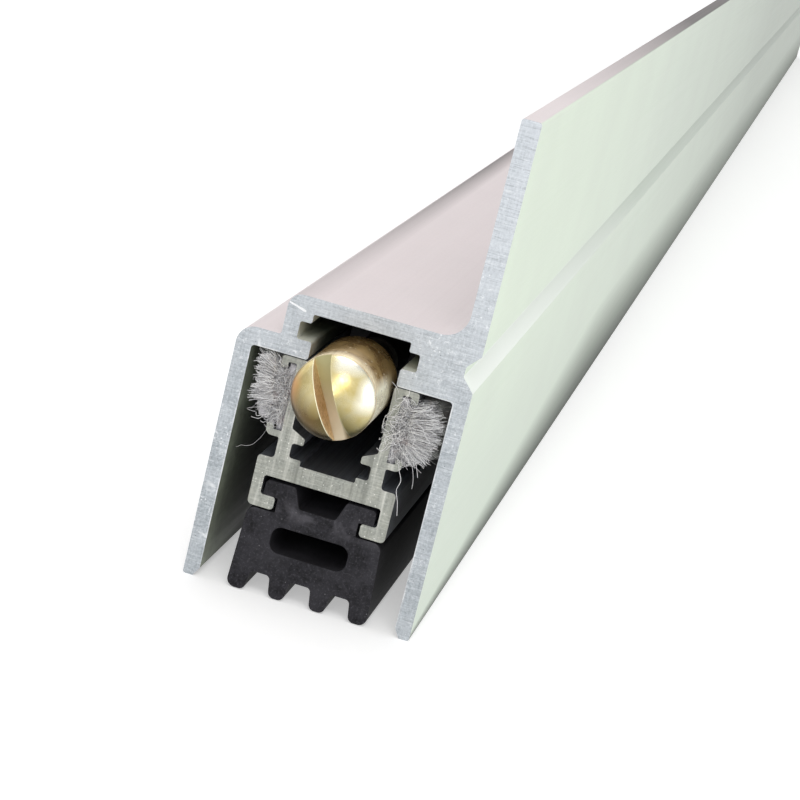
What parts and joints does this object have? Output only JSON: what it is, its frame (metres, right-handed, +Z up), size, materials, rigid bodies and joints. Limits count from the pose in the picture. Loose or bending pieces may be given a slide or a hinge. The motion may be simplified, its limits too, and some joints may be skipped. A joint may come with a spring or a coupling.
{
  "type": "automatic door bottom seal",
  "caption": "Automatic door bottom seal: an extruded housing with a face flange, a sprung drop bar carrying a finned rubber seal and pile strips, and a brass adjusting plunger.",
  "frame": {"origin": "Centre of the footprint: mid width of the housing, mid length from the plunger nose to the far end, at the tips of the housing legs.", "axes": "+X across the door towards the flange side, +Y along the door bottom away from the plunger, +Z up."},
  "size_m": [0.025, 0.8399, 0.0555],
  "materials": {
    "housing": "satin anodised skin, bright sawn ends",
    "drop_bar": "mill finish",
    "seal": "matt extruded rubber",
    "pile": "grey woven pile",
    "brass": "turned, lightly tarnished",
    "rods": "zinc plated",
    "spring": "drawn spring wire",
    "nylon": "black moulded nylon",
    "guide_plates": "zinc plated",
    "cams": "pressed steel, zinc plated",
    "brackets": "zinc plated",
    "pins": "hardened steel"
  },
  "bodies": {
    "housing": {"housing": "housing", "front_rod_guide": "nylon", "stop_rod_guide": "nylon", "spring_seat": "nylon", "middle_rod_guide": "nylon", "rear_rod_guide": "nylon", "guide_plate_front_left": "guide_plates", "guide_plate_front_right": "guide_plates", "guide_plate_rear_left": "guide_plates", "guide_plate_rear_right": "guide_plates", "return_spring": "spring"},
    "push_rod": {"front_rod": "rods", "link_rod": "rods", "tail_rod": "rods", "rod_pins": "pins", "cam_plate_front": "cams", "cam_plate_rear": "cams", "spring_collar": "rods", "collar_screw": "pins"},
    "plunger": {"plunger": "brass"},
    "drop_bar": {"drop_bar": "drop_bar", "rubber_seal": "seal", "pile_strip_left": "pile", "pile_strip_right": "pile", "bracket_front": "brackets", "bracket_rear": "brackets", "follower_pin_front": "pins", "follower_pin_rear": "pins", "bracket_screws": "pins"}
  },
  "joints": [
    {"name": "push_slide", "type": "slide", "parent": "housing", "child": "push_rod", "axis": [0, 1, 0], "range_m": [0, 0.007], "stiffness_N_per_m": 1200, "springref_m": -0.01, "deforming": ["return_spring"]},
    {"name": "bar_drop", "type": "slide", "parent": "housing", "child": "drop_bar", "axis": [0, 0, -1], "range_m": [0, 0.009]},
    {"name": "plunger_turn", "type": "hinge", "parent": "push_rod", "child": "plunger", "pos_m": [0, -0.41, 0.0248], "axis": [0, 1, 0], "continuous": true}
  ],
  "couplings": [
    {"joint": "bar_drop", "follows": "push_slide", "ratio": 1.2857}
  ]
}
